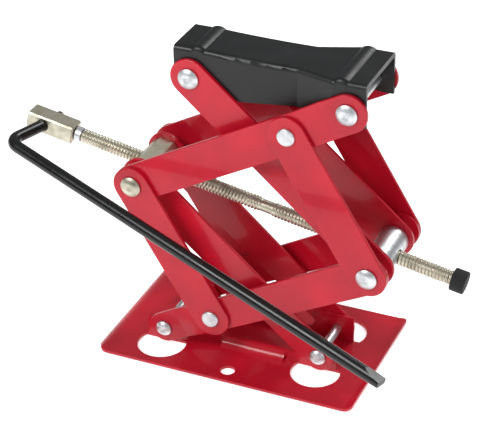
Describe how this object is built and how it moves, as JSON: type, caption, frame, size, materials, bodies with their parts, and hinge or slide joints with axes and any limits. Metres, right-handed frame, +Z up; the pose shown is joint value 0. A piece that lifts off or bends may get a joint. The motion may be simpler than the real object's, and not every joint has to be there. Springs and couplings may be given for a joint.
{
  "type": "scissor jack",
  "caption": "Screw-driven double scissor lifting jack: pressed base, crossed flat arms with short links, threaded screw between trunnion nuts, channel saddle and bent crank handle.",
  "frame": {"origin": "on the ground, under the middle of the base plate, midway between the two base pins", "axes": "+X along the base towards the screw's capped end, +Z up; the screw lies in the XZ plane and the base pins run along Y"},
  "size_m": [0.3979, 0.2319, 0.2838],
  "materials": {
    "red_enamel": "glossy enamel",
    "black_paint": "satin paint",
    "black_coating": "semi-gloss coating",
    "zinc_plate": "bright zinc plating",
    "nickel_plate": "nickel plating",
    "cap_rubber": "moulded, matt"
  },
  "bodies": {
    "base": {"base": "red_enamel", "base_pin_left": "zinc_plate", "base_pin_right": "zinc_plate"},
    "lower_left_arms": {"lower_left_arm_front": "red_enamel", "lower_left_arm_back": "red_enamel", "lower_arm_rivet_tails": "zinc_plate"},
    "lower_right_arms": {"lower_right_arm_front": "red_enamel", "lower_right_arm_back": "red_enamel"},
    "lower_links": {"lower_link_front": "red_enamel", "lower_link_back": "red_enamel", "lower_link_rivets": "zinc_plate"},
    "right_nut": {"right_nut": "zinc_plate"},
    "left_nut": {"left_nut": "nickel_plate"},
    "upper_right_arms": {"upper_right_arm_front": "red_enamel", "upper_right_arm_back": "red_enamel"},
    "upper_links": {"upper_link_front": "red_enamel", "upper_link_back": "red_enamel", "upper_link_rivets": "zinc_plate"},
    "saddle": {"saddle": "black_paint", "saddle_pin_left": "zinc_plate", "saddle_pin_right": "zinc_plate"},
    "upper_left_arms": {"upper_left_arm_front": "red_enamel", "upper_left_arm_back": "red_enamel", "upper_arm_rivet_tails": "zinc_plate"},
    "thrust_collar": {"thrust_collar": "zinc_plate"},
    "screw": {"screw": "nickel_plate", "head_block": "nickel_plate", "end_cap": "cap_rubber"},
    "handle": {"handle": "black_coating"}
  },
  "joints": [
    {"name": "lift", "type": "hinge", "parent": "base", "child": "lower_left_arms", "pos_m": [-0.0695, 0, 0.0145], "axis": [0, -1, 0], "range_deg": [-22, 13]},
    {"name": "lower_right_arm_fold", "type": "hinge", "parent": "base", "child": "lower_right_arms", "pos_m": [0.0695, 0, 0.0145], "axis": [0, -1, 0], "range_deg": [-8.98, 14.92]},
    {"name": "right_nut_turn", "type": "hinge", "parent": "lower_left_arms", "child": "right_nut", "pos_m": [0.11808, 0, 0.11542], "axis": [0, -1, 0], "range_deg": [-10.63, 17.71]},
    {"name": "upper_right_arm_fold", "type": "hinge", "parent": "lower_left_arms", "child": "upper_right_arms", "pos_m": [0.11808, 0, 0.11542], "axis": [0, -1, 0], "range_deg": [-21.98, 36.92]},
    {"name": "upper_link_fold", "type": "hinge", "parent": "lower_left_arms", "child": "upper_links", "pos_m": [0.11808, 0, 0.11542], "axis": [0, -1, 0], "range_deg": [-24.77, 41.65]},
    {"name": "lower_link_fold", "type": "hinge", "parent": "lower_right_arms", "child": "lower_links", "pos_m": [-0.09033, 0, 0.15529], "axis": [0, -1, 0], "range_deg": [-3.19, 5.13]},
    {"name": "left_nut_turn", "type": "hinge", "parent": "lower_right_arms", "child": "left_nut", "pos_m": [-0.09033, 0, 0.15529], "axis": [0, -1, 0], "range_deg": [-19.61, 11.75]},
    {"name": "saddle_level", "type": "hinge", "parent": "upper_right_arms", "child": "saddle", "pos_m": [-0.04175, 0, 0.25621], "axis": [0, -1, 0], "range_deg": [-14.92, 8.98]},
    {"name": "upper_left_arm_fold", "type": "hinge", "parent": "saddle", "child": "upper_left_arms", "pos_m": [0.09725, 0, 0.25621], "axis": [0, -1, 0], "range_deg": [-22.4, 13.4]},
    {"name": "screw_travel", "type": "slide", "parent": "right_nut", "child": "thrust_collar", "axis": [-0.9822, 0, 0.1879], "range_m": [-0.0213, 0.0354]},
    {"name": "screw_spin", "type": "hinge", "parent": "thrust_collar", "child": "screw", "pos_m": [0.01387, 0, 0.13536], "axis": [-0.9822, 0, 0.1879], "range_deg": [-10, 45]},
    {"name": "handle_swing", "type": "hinge", "parent": "screw", "child": "handle", "pos_m": [-0.18944, 0, 0.17426], "axis": [-0.2707, -0.9613, 0.0518], "range_deg": [0, 200]}
  ],
  "couplings": [
    {"joint": "lower_right_arm_fold", "follows": "lift", "ratio": -0.66},
    {"joint": "right_nut_turn", "follows": "lift", "ratio": -0.787},
    {"joint": "upper_right_arm_fold", "follows": "lift", "ratio": -1.66},
    {"joint": "upper_link_fold", "follows": "lift", "ratio": -1.875},
    {"joint": "lower_link_fold", "follows": "lift", "ratio": -0.215},
    {"joint": "left_nut_turn", "follows": "lift", "ratio": 0.873},
    {"joint": "saddle_level", "follows": "lift", "ratio": 0.66},
    {"joint": "upper_left_arm_fold", "follows": "lift", "ratio": 1},
    {"joint": "screw_travel", "follows": "lift", "m_per_rad": -0.08962}
  ]
}
